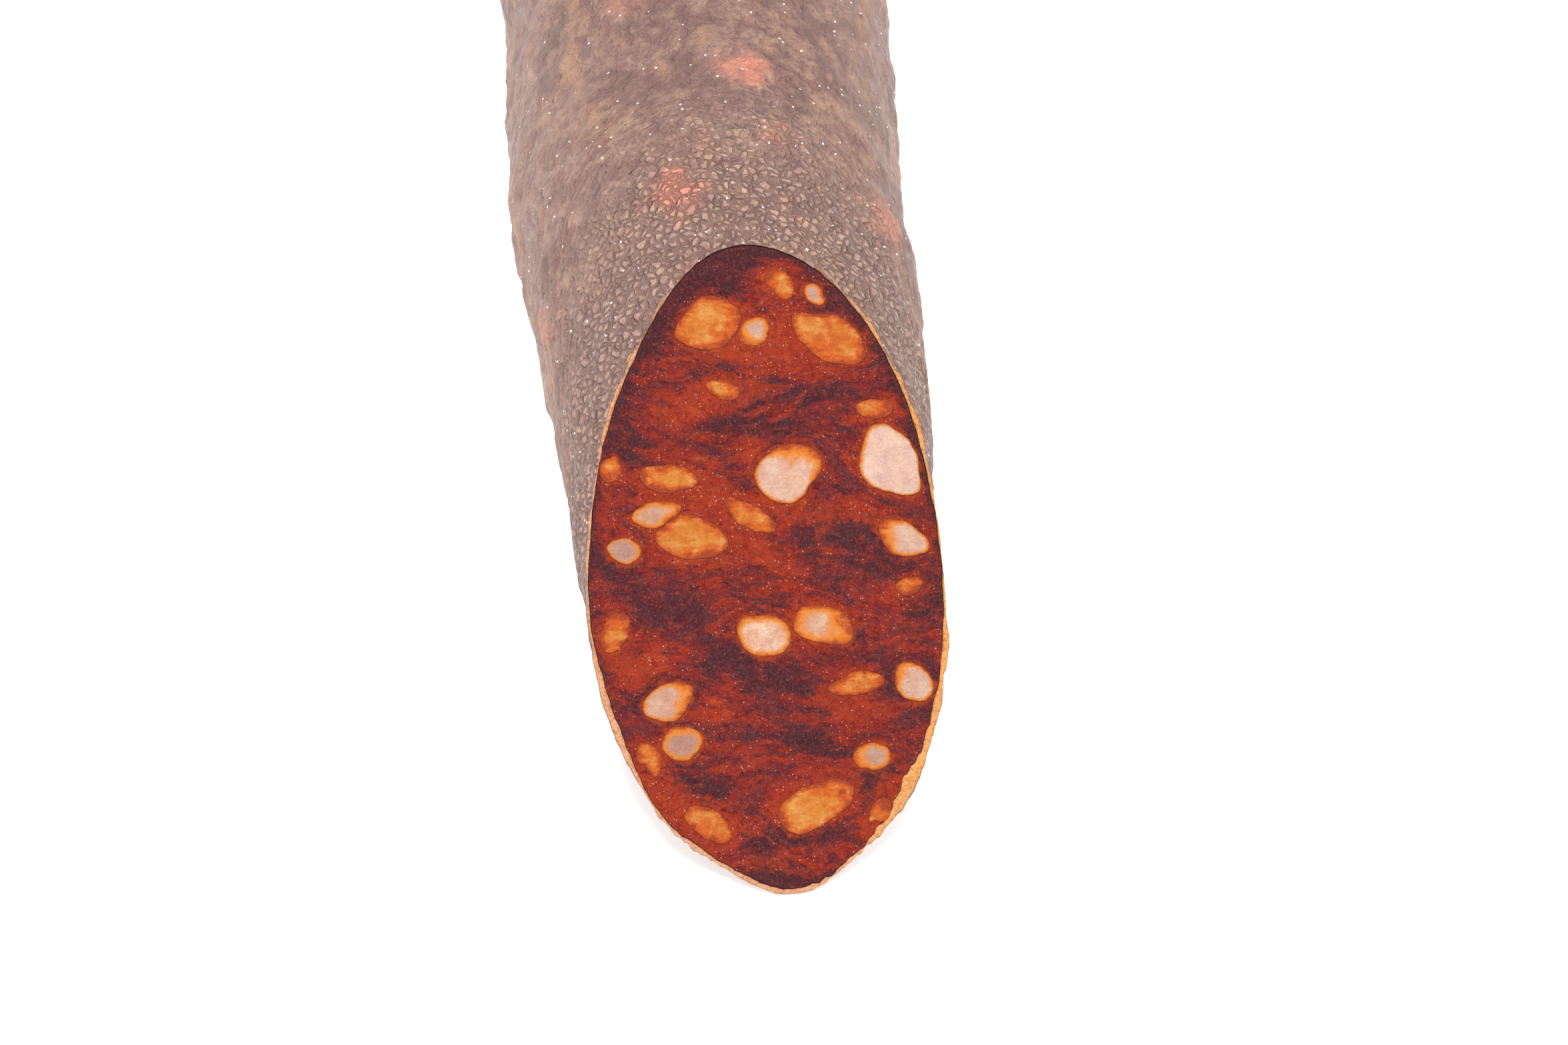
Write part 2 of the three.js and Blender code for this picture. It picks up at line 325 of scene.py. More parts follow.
# The dried skin: beige to mauve grey, pebbled near the cut and mottled further on, with salmon patches
# where fat lies just under it, white specks of salt crystals and painted glints, and a pale, oily line
# where it is cut. The grooves between its pebbles carry painted shade, its top painted shade and its
# sides painted light.
casing_skin = new_material("dry natural casing")
skin_spot = mark_of(casing_skin, "spot", 1)
broad = noise_of(casing_skin, skin_spot, 0.07, 4.0, 0.6, 0.4)
patches = noise_of(casing_skin, skin_spot, 0.16, 6.0, 0.66, 0.4)
mottle = noise_of(casing_skin, skin_spot, 0.42, 5.0, 0.65, 0.3)
wrinkles = noise_of(casing_skin, mark_of(casing_skin, "skin", 1), 0.5, 4.0, 0.6, 0.3)
grain = noise_of(casing_skin, skin_spot, 2.4, 3.0, 0.6)
wobble = add(casing_skin, "TexNoise", Vector=skin_spot, Scale=0.6, Detail=3.0).outputs[1]
shaken = add(
    casing_skin, "VectorMath", {"operation": "MULTIPLY_ADD"}, i0=wobble, i1=(1.5, 1.5, 1.5), i2=skin_spot
).outputs[0]
pebbled = mark_of(casing_skin, "pebbled")


def grooves_of(scale, width):
    """The grooves between rounded cells: 1 in a groove and 0 on a cell."""
    links = {"Vector": shaken, "Scale": scale}
    cells = add(casing_skin, "TexVoronoi", {"feature": "DISTANCE_TO_EDGE"}, **links)
    return mapped(casing_skin, cells.outputs[0], 0.0, width, 1.0, 0.0)


fine_grooves = times(casing_skin, grooves_of(0.82, 0.28), pebbled)
wide_grooves = grooves_of(0.26, 0.3)
tone = blend(casing_skin, mapped(casing_skin, broad, 0.38, 0.62), "#846860", "#9a7762")
tone = layered(casing_skin, tone, [
    (mapped(casing_skin, mottle, 0.45, 0.6, 0, 0.6), "#b5937e"),
    (mapped(casing_skin, mottle, 0.5, 0.34, 0, 0.7), "#664846"),
    (mapped(casing_skin, patches, 0.48, 0.6, 0, 0.7), "#794f4c"),
    (mapped(casing_skin, wrinkles, 0.5, 0.62, 0, 0.42), "#b8977d"),
    (mapped(casing_skin, wrinkles, 0.5, 0.36, 0, 0.5), "#62443f"),
    # Dark blotches, and painted shade along the top.
    (times(casing_skin, mark_of(casing_skin, "shade"), 0.78), "#5e4240"),
    (times(casing_skin, mark_of(casing_skin, "ochre"), 0.45), "#b98d66"),
    # Painted light on the sides.
    (times(casing_skin, mark_of(casing_skin, "pale"), 0.22), "#a98d80"),
    (times(casing_skin, pebbled, 0.36), "#bb9d90"),
    # Painted shade in the wide grooves.
    (times(casing_skin, wide_grooves, 0.2), "#664944"),
])
uneven = mapped(casing_skin, mottle, 0.3, 0.6, 0.7, 1.15)
salmon = times(casing_skin, mark_of(casing_skin, "fat_below"), uneven)
# White specks: salt crystals and painted glints.
crystal_and_glint_cells = add(casing_skin, "TexVoronoi", {"feature": "F1"}, Vector=skin_spot, Scale=0.62)
chosen = add(casing_skin, "SeparateColor", Color=crystal_and_glint_cells.outputs[1]).outputs[0]
crystal_and_glint_size = mapped(casing_skin, crystal_and_glint_cells.outputs[0], 0.06, 0.13, 1, 0)
crystals_and_glints = times(casing_skin, crystal_and_glint_size, mapped(casing_skin, chosen, 0.4, 0.45))
paprika = mapped(casing_skin, grain, 0.58, 0.66, 0, 0.5)
edge_tone = blend(casing_skin, mark_of(casing_skin, "golden"), "#bd8a66", "#c48a4c")
edge_tone = blend(casing_skin, mapped(casing_skin, grain, 0.46, 0.6, 0, 0.6), edge_tone, "#a9602f")
tone = layered(casing_skin, tone, [
    (mapped(casing_skin, salmon, 0.05, 1.0, 0, 0.85), "#cf836c"),
    # Painted shade in the fine grooves between the pebbles.
    (times(casing_skin, fine_grooves, 0.7), "#604741"),
    # White specks: salt crystals and painted glints.
    (times(casing_skin, crystals_and_glints, 0.95), "#ffffff"),
    (times(casing_skin, mark_of(casing_skin, "near_cut"), paprika), "#b9602f"),
    (mapped(casing_skin, mark_of(casing_skin, "edge"), 0.3, 0.8), edge_tone),
])
relief = summed(casing_skin, [
    (fine_grooves, 0, -0.44), (wide_grooves, 0, -0.25), (mottle, 0, 1.2), (wrinkles, 0, 0.7),
    (grain, 0, 0.15),
])
skin_shine = mapped(casing_skin, mottle, 0.3, 0.7, 0.42, 0.62)
finished(casing_skin, tone, skin_shine, relief, 0.0009, Specular_IOR_Level=0.3)

SIDES = 320
angle = np.linspace(0, 2 * np.pi, SIDES, endpoint=False)[None]
turned = np.degrees(angle[0] + np.pi) % 360 - 180  # 0 on top, 90 on the right, -90 on the left


def hump(middle, width):
    """A bell curve around the body, centred on an angle in degrees."""
    away = (turned - middle + 180) % 360 - 180
    return np.exp(-((away / width) ** 2))


def edge_noise(size, seed):
    """Noise around the cut edge, read on a circle: the larger the circle, the finer the noise."""
    return noise(np.stack([size * np.cos(angle[0]), size * np.sin(angle[0]), 0 * angle[0]], -1), seed)


# The casing's cut edge is thicker in a golden, fatty band low on the right, and a pale flap low on the
# left stands away from the meat.
ragged = edge_noise(8, 11)
frayed = edge_noise(22, 12)
edge_wall = WALL * (1 + 0.6 * ragged + 0.4 * frayed)
edge_wall = edge_wall + (0.8 + 0.6 * ragged + 0.3 * frayed) * hump(128, 19)
edge_wall = edge_wall + (0.25 + 0.3 * frayed) * hump(-112, 11) + (0.08 + 0.15 * frayed) * hump(180, 24)
edge_wall = np.clip(edge_wall * (1 - 0.5 * hump(0, 35)), 0.12, 2.0)

cut_y = cut_distance(angle, 0)
dome_start = BODY_LENGTH - SHOULDER_LENGTH
steps = np.linspace(0, 1, 200)[:, None]
body_rows = cut_y + (dome_start - cut_y) * (0.62 * steps + 0.38 * steps**2)
turn = np.linspace(0, 1, 42)[1:, None]
dome_rows = dome_start + SHOULDER_LENGTH * np.sin(np.pi / 2 * turn) ** (1 / 1.2) + 0 * angle
outer_rows = np.concatenate([body_rows, dome_rows])
outer = body_point(angle, outer_rows, 0)
axis_point = np.stack([axis_x(outer_rows), outer_rows, axis_z(outer_rows)], -1)
reach = np.linalg.norm(outer - axis_point, axis=-1, keepdims=True)
filled = (reach**4 + NECK_RADIUS**4) ** 0.25
widened = axis_point + (outer - axis_point) * filled / np.maximum(reach, 0.01)
outer = np.where(outer_rows[..., None] > dome_start, widened, outer)
# The last ring of the dome has no direction left in it, so it is the neck's own circle.
around = np.stack([np.sin(angle[0]), 0 * angle[0], np.cos(angle[0])], -1)
outer[-1] = axis_point[-1] + NECK_RADIUS * around

from_cut = outer_rows - cut_y
# Near the cut the wrinkles run parallel to the edge; further on they turn to run along the body.
skin_place = outer.copy()
turning = smooth_step(from_cut, 14, 60)
skin_place[..., 1] = outer[..., 1] - outer[..., 2] / np.tan(CUT_ANGLE) * (1 - turning)
skin_place = skin_place * np.stack([1 + 0.25 * turning, 1.15 - 0.45 * turning, 1 + 0.25 * turning], -1)

# Lumps over fat just below the skin: angle in degrees, distance from the cut edge, size, height.
FAT_LUMPS = [
    (-19, 14.5, 3.6, 1.1), (-11, 21, 2.8, 0.35), (5, 36, 3.2, 0.8), (13, 24, 3.0, 0.4), (12, 9, 3.4, 0.35),
    (52, 31, 4.0, 0.6), (40, 10, 2.2, 0.25), (-80, 42, 3.2, 0.5), (-70, 17, 2.0, 0.3), (-30, 62, 3.4, 0.4),
    (84, 52, 4.4, 0.35), (32, 70, 4.2, 0.6), (-100, 75, 4.2, 0.4), (120, 80, 4.4, 0.3), (-140, 60, 4.0, 0.4),
    (66, 96, 4.8, 0.35), (-40, 100, 4.4, 0.5), (150, 40, 3.6, 0.3), (-8, 112, 4.6, 0.3), (-95, 118, 4.2, 0.4),
]
fat_below = np.zeros_like(from_cut)
lump_height = np.zeros_like(from_cut)
edge_shape = noise(outer / 2.6, 21) * 0.45
for place, distance, size, height in FAT_LUMPS:
    at = np.radians([float(place)])
    middle = body_point(at, cut_distance(at, 0) + distance, 0)
    away = np.linalg.norm((outer - middle) * np.array([0.8, 0.8, 1]), axis=-1) / size + edge_shape
    bell = np.exp(-(np.clip(away, 0, None) ** 2.5))
    fat_below = np.maximum(fat_below, bell * min(0.9 * height, 1))
    lump_height = np.maximum(lump_height, height * bell)

alive = 1 - smooth_step(outer_rows, BODY_LENGTH - 14, BODY_LENGTH)
broad_height = 0.5 * noise(outer / 13, 1) + 0.3 * noise(outer / 6.2, 2)
crease = np.minimum(np.abs(noise(skin_place / 4.4, 3)) * 2.2, 1)
fine = np.minimum(pebbles(outer / 1.7 + 0.3 * noise(outer / 3, 8)[..., None], 4) * 2, 1)
height = broad_height + 0.35 * crease + 0.14 * fine + 0.06 * noise(skin_place / 1.6, 5)
height = height + lump_height - 0.05
pleat_turn = 9 * angle + 1.2 * noise(outer / 9, 6)
pleats = np.abs(np.sin(pleat_turn)) ** 0.7 - 0.6
near_neck = smooth_step(outer_rows, BODY_LENGTH - 26, BODY_LENGTH - 4)
near_neck = near_neck * (1 - smooth_step(outer_rows, BODY_LENGTH - 1.5, BODY_LENGTH))
height = height * alive + 1.1 * pleats * near_neck - 0.25
height = np.clip(height, -0.12 - 0.5 * smooth_step(from_cut, 1, 9), 1.35)
# The flap and the lips of the cut stand out a little, and the underside stays flat on the table.
lip_rise = (0.3 * hump(-112, 13) + 0.15 * ragged + 0.1 * frayed) * np.exp(-from_cut / 2.2)
out = normals(outer)
if np.sum(out[60, 0] * np.array([0, 0, 1])) < 0:
    out = -out
settled = smooth_step(outer[..., 2], 0.0, 2.5)
outer_full = outer + out * ((height + lip_rise) * (0.25 + 0.75 * settled))[..., None]
off_table = 0.02 + 0.25 * (1 - settled) * np.abs(noise(outer / 5, 9))
outer_full[..., 2] = np.maximum(outer_full[..., 2], off_table)
# The first ring goes back on to the cut plane, and its neighbours follow it.
slide = outer_full[0, :, 2] / np.tan(CUT_ANGLE) - outer_full[0, :, 1]
outer_full[..., 1] += slide[None] * np.exp(-from_cut / 3)

neck_rows = np.linspace(0, NECK_LENGTH, 12)[1:, None]
tail_share = np.linspace(0, 1, 18)[1:, None]
tail_rows = NECK_LENGTH + TAIL_LENGTH * tail_share
after_rows = np.concatenate([neck_rows, tail_rows]) + BODY_LENGTH + 0 * angle
flare = np.concatenate([0 * neck_rows, (TAIL_RADIUS - NECK_RADIUS) * tail_share**1.4])
crumple_x, crumple_z = (2.6 * wave(angle) + 0 * after_rows for wave in (np.sin, np.cos))
crumple = noise(np.stack([crumple_x, after_rows / 7, crumple_z], -1), 31)
folds = np.sin(9 * angle + 2.2 * crumple + 0.05 * after_rows)
fold_depth = np.concatenate([0.35 + 0 * neck_rows, 0.35 + 1.5 * tail_share])
waist = np.concatenate([-0.35 * np.sin(np.pi * neck_rows / NECK_LENGTH), 0 * tail_share])
after_radius = NECK_RADIUS + flare + waist + fold_depth * (folds - 0.35) + 0.5 * crumple * (0.3 + flare / 4)
ragged_end = 1.3 * noise(np.stack([2 * np.sin(angle), 2 * np.cos(angle), 0 * angle], -1), 33)
after_y = after_rows + np.concatenate([0 * neck_rows, tail_share**3]) * (ragged_end - 0.9)
squeeze = np.concatenate([0 * neck_rows, smooth_step(tail_share, 0.1, 1.0)])
after = np.stack([
    axis_x(after_rows) + after_radius * np.sin(angle) * (1 + 0.06 * squeeze),
    after_y,
    axis_z(after_rows) + after_radius * np.cos(angle) * (1 - 0.42 * squeeze),
], -1)
dish_share = np.linspace(1, 0, 9)[1:, None, None]
tail_middle = after[-1].mean(0) - np.array([0, TAIL_DISH, 0])
inside_lip = after[-1] + (tail_middle - after[-1]) * 0.06
dish = tail_middle + (inside_lip - tail_middle) * dish_share * np.array([1, 0, 1])
dish[..., 1] += (inside_lip[:, 1] - tail_middle[1])[None] * dish_share[..., 0] ** 0.6

def wall_at(distance, rim):
    """How far in the wall's inner side lies: the rim's thickness at the cut, and deeper from there on,
    where the outer side is wrinkled."""
    return rim + (1.4 - rim) * smooth_step(distance, 0.4, 8)


# Inside: the wall from the pole at the far end back to the cut edge.
inner_share = np.linspace(0, 1, 22)[:, None]
inner_end = BODY_LENGTH - 1.2
inner_cut = cut_distance(angle, edge_wall[None])
inner_rows = inner_cut + (inner_end - inner_cut) * (1 - inner_share) ** 2.2
inner = body_point(angle, inner_rows, wall_at(inner_rows - inner_cut, edge_wall[None]))
inner[0] = inner[0].mean(0)
inner[-1] = body_point(angle[0], inner_cut[0], edge_wall)
inner[-1, :, 1] = inner[-1, :, 2] / np.tan(CUT_ANGLE)
rim_middle = (inner[-1] * 0.5 + outer_full[0] * 0.5) + face_normal * (0.12 + 0.1 * ragged[:, None])
rim_outer = outer_full[0] * 0.9 + inner[-1] * 0.1 + face_normal * 0.06

casing_rings = np.concatenate([inner, rim_middle[None], rim_outer[None], outer_full, after, dish])
ring_count = len(casing_rings)


def along_casing(inside, rim, body, beyond):
    """Joins a mark's values for the inner wall, the cut edge, the body and everything past the neck."""
    parts = [np.full((len(inner), SIDES), float(inside)), np.full((2, SIDES), float(rim)), body]
    return np.concatenate([*parts, np.full((len(after) + len(dish), SIDES), float(beyond))])


beyond_place = np.concatenate([after, dish]) * np.array([1.25, 0.7, 1.25])
skin_mark = np.concatenate([inner, rim_middle[None], rim_outer[None], skin_place, beyond_place])
place_mark = np.concatenate([inner, rim_middle[None], rim_outer[None], outer, after, dish])
# The skin is dark in blotches, more of them on the top, and has painted shade along the top that deepens
# away from the cut; it has ochre streaks along the body, painted light on the sides, and is pebbled near the
# cut.
shade = smooth_step(noise(outer / 7.5, 41) + 0.5 * noise(outer / 2.5, 42) + 0.25 * np.cos(angle), 0.1, 0.6)
# Painted shade along the top, deepening away from the cut.
painted_top_shade = 0.62 * smooth_step(from_cut, 12, 60) * (0.55 + 0.45 * np.cos(angle))
shade = np.maximum(shade * smooth_step(from_cut, 12, 40), painted_top_shade) * (1 - 0.8 * fat_below)
ochre = noise(skin_place * np.array([1, 0.35, 1]) / 5, 44) + 0.3 * noise(skin_place / 2, 45)
ochre = smooth_step(ochre, 0.15, 0.6)
ochre = ochre * (0.25 + 0.75 * smooth_step(from_cut, 20, 60))
# Painted light on the sides: paler where the skin turns to the left and right.
pale = smooth_step(np.abs(np.sin(angle)) + 0.3 * noise(outer / 9, 43), 0.4, 1.0)
pebbled_part = 1 - 0.75 * smooth_step(from_cut + 6 * noise(outer / 8, 46), 14, 36)
marks = {
    "skin": skin_mark,
    "spot": place_mark,
    "fat_below": along_casing(0, 0, fat_below, 0.15),
    "shade": along_casing(0, 0, shade, 0.1),
    "pale": along_casing(0, 0, pale, 0.3),
    "ochre": along_casing(0, 0, ochre, 0.3),
    "edge": along_casing(1, 1, np.exp(-from_cut / 0.3), 0) * (1 - 0.9 * hump(0, 38)),
    "near_cut": along_casing(1, 1, np.exp(-from_cut / 4), 0),
    "pebbled": along_casing(0, 0, pebbled_part, 0.3),
    "golden": np.repeat(smooth_step(np.sin(angle), -0.2, 0.9), ring_count, 0),
}
casing = closed_mesh("dried_casing", casing_rings, casing_skin, marks)
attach(casing, "root")
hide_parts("casing")


# ---- Fat in the cut face ----
# Cubes of firm back fat, mixed into the lean as it was minced and worn round in the mixing. The knife
# cut them flush with the meat. Some stay white; oil with paprika has soaked through the others.

FACE_GAP = 0.08
SOFTENED = 17  # how many of an outline's 180 directions are averaged
lip_y = cut_distance(np.array([0.0]), 0)[0]
face_middle = face_up * lip_y / np.cos(CUT_ANGLE) / 2 + np.array([axis_x(lip_y / 2), 0, 0])


def outline_of(node, seed):
    """The edge of a piece of fat in the cut plane, as its middle and its radius in 180 directions: the
    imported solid's corners on the plane, joined in order, softened, and roughened by noise."""
    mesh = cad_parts[node].data
    points = np.empty(len(mesh.vertices) * 3, np.float32)
    mesh.vertices.foreach_get("co", points)
    points = points.reshape(-1, 3) * 1000.0 - to_row - face_middle
    flat = points[np.abs(points @ face_normal) < 0.03]
    place = np.stack([flat[:, 0], flat @ face_up], -1)
    middle = (place.min(0) + place.max(0)) / 2
    across, up = (place - middle).T
    bearing = np.arctan2(up, across)
    order = np.argsort(bearing)
    directions = np.linspace(-np.pi, np.pi, 180, endpoint=False)
    radius = np.interp(directions, bearing[order], np.hypot(across, up)[order], period=2 * np.pi)
    kernel = np.hanning(SOFTENED) / np.hanning(SOFTENED).sum()
    radius = np.convolve(np.tile(radius, 3), kernel, "same")[180:360]
    spot = np.stack([np.cos(directions), np.sin(directions), 0 * directions], -1) * radius[:, None]
    wander = 0.07 * noise(spot / 3.4 + seed, seed) * radius.mean() + 0.1 * noise(spot / 1.1, seed + 50)
    return middle, radius + 0.25 + wander, points @ face_normal


white_names = sorted(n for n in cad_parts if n.startswith("white_fat"))
amber_names = sorted(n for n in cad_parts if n.startswith("amber_fat"))
outlines = {n: outline_of(n, i + 1) for i, n in enumerate(white_names + amber_names)}


def on_face(across, up, rise):
    """Points in the row's millimetres from places across and up the cut face and rises out of it."""
    sideways = np.array([1, 0, 0]) * across[..., None]
    return face_middle + sideways + face_up * up[..., None] + face_normal * rise[..., None]


def reach_in(outline, across, up):
    """How far each place is from a piece's middle, and how long its outline is in that direction."""
    middle, radius, _ = outline
    dx, dy = across - middle[0], up - middle[1]
    bearing = np.arctan2(dy, dx)
    directions = np.linspace(-np.pi, np.pi, 180, endpoint=False)
    return np.hypot(dx, dy), np.interp(bearing, directions, radius, period=2 * np.pi)


# For each white piece: how far in millimetres oil has soaked in from its edge, how much further it has
# on one side, which side that is in degrees from the right, how cream its middle is, and how pale.
WHITE_LOOKS = {
    "white_fat_1": (0.5, 2.2, 60, 0.45, 0.9), "white_fat_2": (0.35, 0.5, 160, 0.1, 1.0),
    "white_fat_3": (0.6, 1.6, 165, 0.35, 0.8), "white_fat_4": (0.8, 0.6, 90, 0.8, 1.0),
    "white_fat_5": (1.5, 2.6, 0, 0.9, 0.8), "white_fat_6": (0.6, 2.0, 0, 0.6, 0.65),
    "white_fat_7": (0.8, 0.6, 90, 0.2, 0.3), "white_fat_8": (0.5, 1.0, 150, 0.3, 0.75),
    "white_fat_9": (0.9, 1.0, 180, 0.3, 0.4), "white_fat_10": (0.9, 1.2, 230, 0.6, 0.6),
    "white_fat_11": (0.5, 0.5, 0, 0.3, 0.55), "white_fat_12": (0.4, 0.4, 0, 0.0, 0.3),
    "white_fat_13": (0.9, 1.2, 0, 0.8, 0.55),
}


def fat_material(name, dull, cool, warm, light, oil, border, uneven):
    """Waxy fat, cool to warm in tone, with oil soaking in from its edge and a border where it ends."""
    fat = new_material(name)
    place = mark_of(fat, "place", 1)
    cloud = noise_of(fat, place, 0.45, 6.0, 0.68, 0.4)
    stretched = add(fat, "VectorMath", {"operation": "MULTIPLY"}, i0=place, i1=(0.3, 1.0, 1.0)).outputs[0]
    strands = noise_of(fat, stretched, 1.1, 6.0, 0.68, 0.6)
    grain = noise_of(fat, place, 3.0, 5.0, 0.72, 0.3)
    unevenness = summed(fat, [(cloud, 0.5, 1.6), (strands, 0.5, 1.2)])
    dry = maths(fat, "ADD", mark_of(fat, "dry"), times(fat, unevenness, uneven))
    colour = blend(fat, mark_of(fat, "warmth"), cool, warm)
    colour = blend(fat, mapped(fat, cloud, 0.44, 0.66, 0, 0.8), colour, light)
    colour = blend(fat, mark_of(fat, "pale"), dull, colour)
    colour = layered(fat, colour, [
        (mapped(fat, strands, 0.5, 0.66, 0, 0.2), light),
        (mapped(fat, cloud, 0.48, 0.36, 0, uneven / 5), dull),
        (mapped(fat, dry, 1.2, 0.4), oil),
        (mapped(fat, dry, 0.5, 0.0), border),
        (mapped(fat, grain, 0.45, 0.3, 0, 0.4), "#7a3a22"),
    ])
    relief = summed(fat, [(grain, 0, 1), (strands, 0, 0.7)])
    return finished(
        fat, colour, mapped(fat, grain, 0.35, 0.7, 0.3, 0.5), relief, 0.0004, Specular_IOR_Level=0.25,
        Subsurface_Weight=0.1, Subsurface_Radius=(0.0018, 0.0009, 0.0005), Subsurface_Scale=1.0,
    )


# Firm back fat: waxy, slightly translucent, pinkish to cream, with amber oil soaking in from its edge.
white_fat = fat_material(
    "firm white back fat", "#94604e", "#cfaa9b", "#cf9876", "#dcbba4", "#d47a22", "#a8401a", 0.8
)
# The same fat soaked through with paprika oil: amber, with paler clouds left in its middle.
amber_fat = fat_material(
    "back fat soaked with paprika oil", "#a84c1c", "#c86510", "#d88a28", "#e3b060", "#bf5412", "#983a1a", 2.0
)

RIM_SIDES = 120
turns = np.linspace(0, 2 * np.pi, RIM_SIDES, endpoint=False)
directions = np.linspace(-np.pi, np.pi, 180, endpoint=False)
top = np.concatenate([np.linspace(0, 0.9, 16), np.linspace(0.93, 1.0, 4)])[:, None]
under = np.linspace(1, 0, 9)[1:, None]
share = np.concatenate([top, under])
for number, (name, outline) in enumerate(outlines.items()):
    middle, radius, heights = outline
    reach_out = np.interp(turns, directions, radius, period=2 * np.pi)
    depth = min(-heights.min(), 0.75 * radius.mean() + 0.8)
    across = middle[0] + np.cos(turns) * reach_out * share
    up = middle[1] + np.sin(turns) * reach_out * share
    place = np.stack([across, up, 0 * up], -1)
    bulge = (0.12 + 0.09 * noise(place[: len(top)] / 1.8, 71)) * (1 - top**4)
    dip = np.clip(1 - (under * reach_out / np.maximum(reach_out - 0.65, 0.3 * reach_out)) ** 2, 0, 1)
    rise = np.concatenate([bulge + 0.03, -0.01 - depth * dip])
    rings = on_face(across, up, rise)
    white = name in WHITE_LOOKS
    own = (1.0, 1.5, number * 77, (number * 0.37) % 1, 0.35 + (number * 0.61) % 0.6)
    soak, extra, bearing, warmth, paleness = WHITE_LOOKS.get(name, own)
    inward = reach_out.mean() * (1 - share) * (0.6 + 0.4 * reach_out / reach_out.mean())
    soak = soak + extra * np.clip(np.cos(turns - np.radians(bearing)), 0, 1) ** 1.5
    warmth = np.clip(warmth + 0.4 * noise(place / 3 + number, 72), 0, 1)
    fat_marks = {"place": place + 20.0 * number, "dry": inward / soak, "warmth": warmth}
    fat_marks["pale"] = paleness + 0 * up
    piece = closed_mesh(name + "_cube", rings, white_fat if white else amber_fat, fat_marks)
    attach(piece, "root")
    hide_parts(name)


# ---- Filling ----
# Coarse lean pork with paprika, dried until firm. Its cut face is moist: strands of meat flow across
# it and part around the fat, paprika oil tints the meat near the fat, and the meat dries dark under
# the casing.

FILL_SIDES = 480
fill_angle = np.linspace(0, 2 * np.pi, FILL_SIDES, endpoint=False)
rim_wall = np.interp(fill_angle, angle[0], edge_wall, period=2 * np.pi) + FACE_GAP
edge_y = cut_distance(fill_angle, rim_wall)
edge_ring = body_point(fill_angle, edge_y, rim_wall)
edge_ring[:, 1] = edge_ring[:, 2] / np.tan(CUT_ANGLE)
share = np.linspace(0, 1, 160)[:, None]
edge_across = edge_ring[:, 0] - face_middle[0]
edge_up = (edge_ring - face_middle) @ face_up
across, up = share * edge_across, share * edge_up
to_edge = (1 - share) * np.hypot(edge_across, edge_up) * 0.8
spot = np.stack([across, up, 0 * up], -1)

stream = up + 2.6 * noise(spot / 15, 51) + 1.1 * noise(spot / 6, 52) + 0.1 * across
bent = stream.copy()
pocket = np.zeros_like(up)
halo = np.zeros_like(up)
amber_halo = np.zeros_like(up)
edges = np.zeros_like(up)
for name, outline in outlines.items():
    distance, radius = reach_in(outline, across, up)
    spread = np.clip(radius / np.maximum(distance, 1e-3), 0, 1) ** 2
    bent = bent - 0.8 * (up - outline[0][1]) * spread
    depth = min(-outline[2].min(), 0.75 * outline[1].mean() + 0.8) + 0.25
    inside = np.clip(1 - (distance / np.maximum(radius - 0.4, 0.45 * radius)) ** 2, 0, 1)
    pocket = np.maximum(pocket, depth * inside)
    near = np.exp(-np.clip(distance - radius, 0, None) / (1.1 if name in white_names else 2.4))
    if name in white_names:
        halo = np.maximum(halo, near)
    else:
        amber_halo = np.maximum(amber_halo, near)
    edges = np.maximum(edges, 1 - smooth_step(distance - radius, 0.1, 0.8))

strands = noise(np.stack([across / 7, bent / 1.5, 0 * up], -1), 53)
threads = noise(np.stack([across / 3, bent / 0.8, 0 * up + 5], -1), 54)
torn = noise(spot / 1.6, 55)
surface = (0.2 * strands + 0.16 * threads + 0.26 * torn - 0.2) * (1 - edges) - 0.03
surface = surface * smooth_step(to_edge, 0, 0.8) - pocket * smooth_step(to_edge, 0, 0.3)
face = on_face(across, up, surface)
back_share = np.linspace(0, 1, 22)[1:, None]
fill_end = BODY_LENGTH - 2.6
back_rows = edge_y + (fill_end - edge_y) * back_share**2.2
back_inset = wall_at(back_rows - edge_y, rim_wall[None]) + 0.12 * back_share**0.3
back = body_point(fill_angle[None], back_rows, back_inset)
back[-1] = back[-1].mean(0)

# Moist cured lean, coloured by paprika: maroon strands among orange-red ones, glistening in places,
# with painted glints and painted highlights on its crumbs and grain.
lean = new_material("moist cured lean with paprika")
flow = mark_of(lean, "flow", 1)
lean_spot = mark_of(lean, "spot", 1)


def along_flow(across_scale, up_scale):
    scales = (across_scale, up_scale, 1.0)
    return add(lean, "VectorMath", {"operation": "MULTIPLY"}, i0=flow, i1=scales).outputs[0]


zones = noise_of(lean, along_flow(0.09, 0.24), 1.0, 4.0, 0.6, 0.9)
streaks = noise_of(lean, along_flow(0.22, 0.75), 1.0, 7.0, 0.72, 0.9)
threads_tone = noise_of(lean, along_flow(0.9, 2.4), 1.0, 5.0, 0.7, 0.6)
crumbs = noise_of(lean, lean_spot, 1.2, 5.0, 0.78, 0.5)
meat_grain = noise_of(lean, lean_spot, 3.0, 4.0, 0.8)
frayed_by = add(lean, "TexNoise", Vector=lean_spot, Scale=0.8, Detail=6.0).outputs[1]
chunk_flow = along_flow(0.38, 0.85)
chunk_place = add(
    lean, "VectorMath", {"operation": "MULTIPLY_ADD"}, i0=frayed_by, i1=(1.8, 1.8, 0.0), i2=chunk_flow
).outputs[0]
chunks = add(lean, "TexVoronoi", {"feature": "F1"}, Vector=chunk_place, Scale=1.0)
chunk_tint = add(lean, "SeparateColor", Color=chunks.outputs[1]).outputs[0]
warm = maths(lean, "SUBTRACT", mark_of(lean, "oily"), mark_of(lean, "dark"))
value = summed(lean, [
    (streaks, 0, 0.6), (threads_tone, 0, 0.2), (chunk_tint, 0.5, 0.34), (zones, 0.25, 0.95),
    (crumbs, 0.5, 0.35), (warm, 0, 0.22),
])
